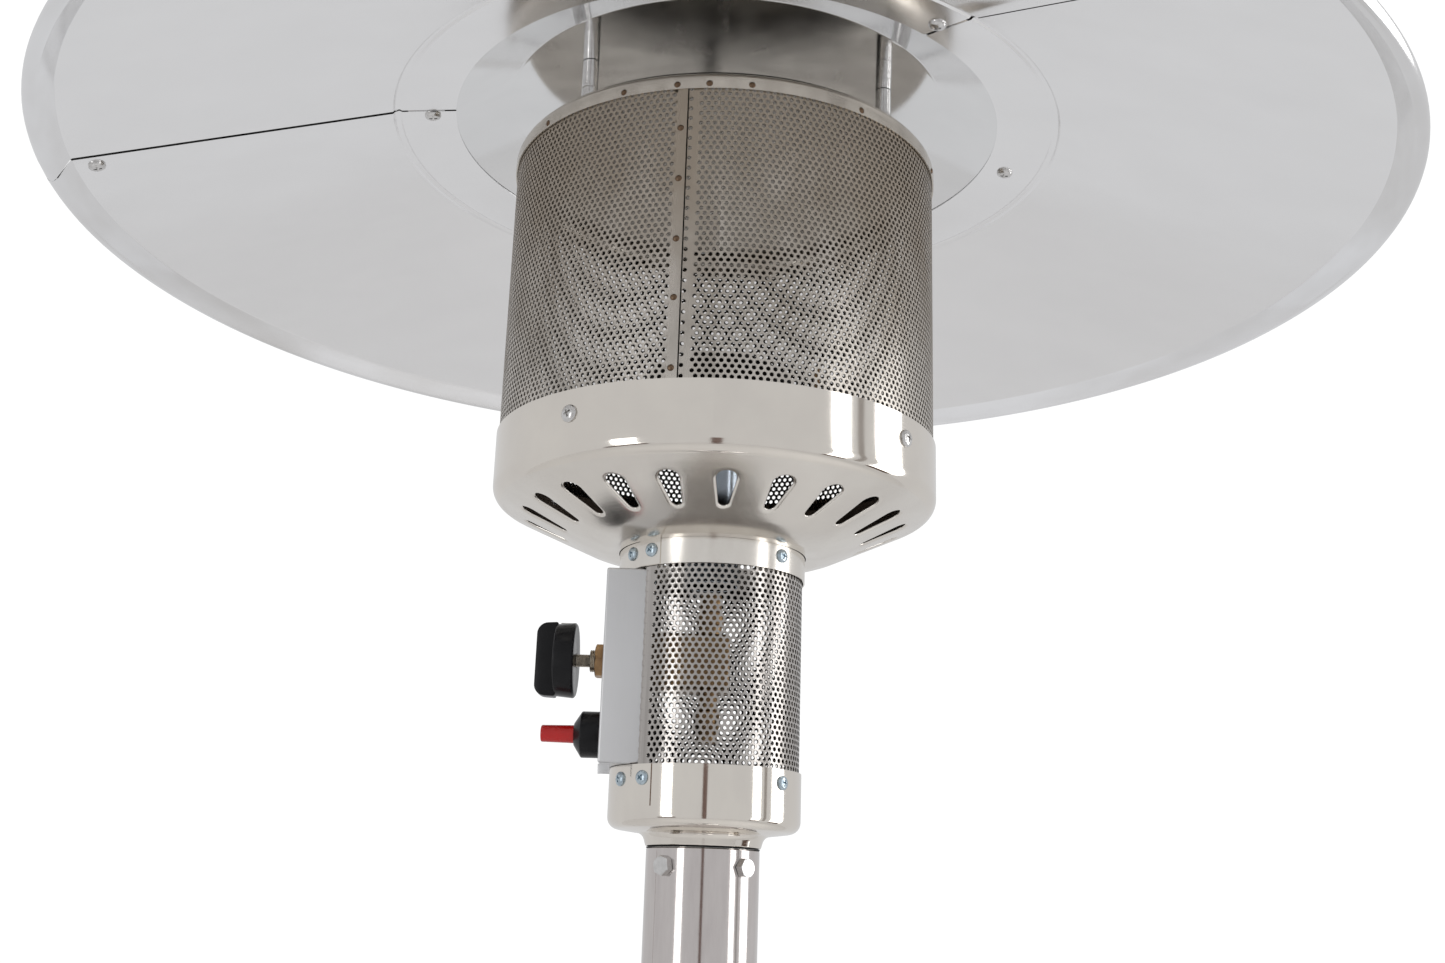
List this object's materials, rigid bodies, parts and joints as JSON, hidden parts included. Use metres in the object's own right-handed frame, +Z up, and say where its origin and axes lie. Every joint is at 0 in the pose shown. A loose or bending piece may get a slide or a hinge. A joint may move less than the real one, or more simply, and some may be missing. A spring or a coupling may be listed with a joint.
{
  "type": "outdoor heater",
  "caption": "Free-standing gas patio heater with a shallow round reflector over a perforated emitter, a slotted burner pan, a control box and a housing for the gas bottle.",
  "frame": {"origin": "on the floor, on the post's axis, under the middle of the base", "axes": "+Z up along the post; the control box, knob and igniter face -X; the wheels are at +Y"},
  "size_m": [0.8106, 0.8106, 2.202],
  "materials": {
    "reflector_sheet": "polished sheet with light haze",
    "heated_steel": "brushed, brown-grey heat tint",
    "polished_steel": "polished stainless, warm",
    "post_steel": "satin stainless tube",
    "housing_steel": "satin stainless sheet",
    "box_sheet": "plain bright sheet",
    "chrome_tube": "bluish zinc plate",
    "painted_steel": "satin dark powder coat",
    "brass": "machined brass, aged",
    "shaft_steel": "machined steel",
    "black_plastic": "satin black moulding",
    "red_plastic": "red moulding",
    "wheel_rubber": "matt black",
    "ceramic": "white ceramic",
    "zinc": "bright zinc plate"
  },
  "bodies": {
    "stand": {"base_plate": "housing_steel", "burner_head": "heated_steel", "burner_pan": "polished_steel", "burner_tube": "chrome_tube", "control_box": "box_sheet", "control_screen": "polished_steel", "emitter_cap": "heated_steel", "emitter_screen": "heated_steel", "gas_valve": "brass", "igniter_body": "black_plastic", "lower_collar": "polished_steel", "neck_ring": "polished_steel", "pan_screw_1": "zinc", "pan_screw_2": "zinc", "pan_screw_3": "zinc", "pan_screw_4": "zinc", "pilot_bracket": "box_sheet", "post": "post_steel", "post_bolt_1": "zinc", "post_bolt_2": "zinc", "post_bolt_3": "zinc", "post_bolt_4": "zinc", "post_flange": "painted_steel", "reflector_centre_plate": "reflector_sheet", "reflector_panel_1": "reflector_sheet", "reflector_panel_2": "reflector_sheet", "reflector_panel_3": "reflector_sheet", "reflector_stud_1": "zinc", "reflector_stud_2": "zinc", "reflector_stud_3": "zinc", "ring_screw_1": "zinc", "ring_screw_2": "zinc", "ring_screw_3": "zinc", "ring_screw_4": "zinc", "ring_screw_5": "zinc", "ring_screw_6": "zinc", "seam_screw_1": "zinc", "seam_screw_2": "zinc", "seam_screw_3": "zinc", "spark_electrode": "ceramic", "stud_nut_1": "zinc", "stud_nut_2": "zinc", "stud_nut_3": "zinc", "support_leg_1": "painted_steel", "support_leg_2": "painted_steel", "support_leg_3": "painted_steel", "thermocouple": "brass", "tilt_switch": "black_plastic", "valve_nut": "brass", "wheel_axle": "shaft_steel", "wheel_bracket": "painted_steel", "wheel_cap_left": "black_plastic", "wheel_cap_right": "black_plastic"},
    "stem": {"valve_stem": "shaft_steel"},
    "knob": {"control_knob": "black_plastic"},
    "button": {"igniter_button": "red_plastic"},
    "housing": {"tank_housing": "housing_steel", "housing_cover": "housing_steel"},
    "left_wheel": {"wheel_left": "wheel_rubber"},
    "right_wheel": {"wheel_right": "wheel_rubber"}
  },
  "joints": [
    {"name": "knob_push", "type": "slide", "parent": "stand", "child": "stem", "axis": [1, 0, 0], "range_m": [0, 0.004], "stiffness_N_per_m": 500},
    {"name": "knob_turn", "type": "hinge", "parent": "stem", "child": "knob", "pos_m": [-0.0885, 0, 1.8358], "axis": [1, 0, 0], "range_deg": [0, 240]},
    {"name": "igniter_press", "type": "slide", "parent": "stand", "child": "button", "axis": [1, 0, 0], "range_m": [0, 0.006], "stiffness_N_per_m": 400},
    {"name": "housing_lift", "type": "slide", "parent": "stand", "child": "housing", "axis": [0, 0, 1], "range_m": [0, 0.5]},
    {"name": "left_wheel_spin", "type": "hinge", "parent": "stand", "child": "left_wheel", "pos_m": [-0.096, 0.268, 0.052], "axis": [1, 0, 0], "continuous": true},
    {"name": "right_wheel_spin", "type": "hinge", "parent": "stand", "child": "right_wheel", "pos_m": [0.096, 0.268, 0.052], "axis": [1, 0, 0], "continuous": true}
  ]
}
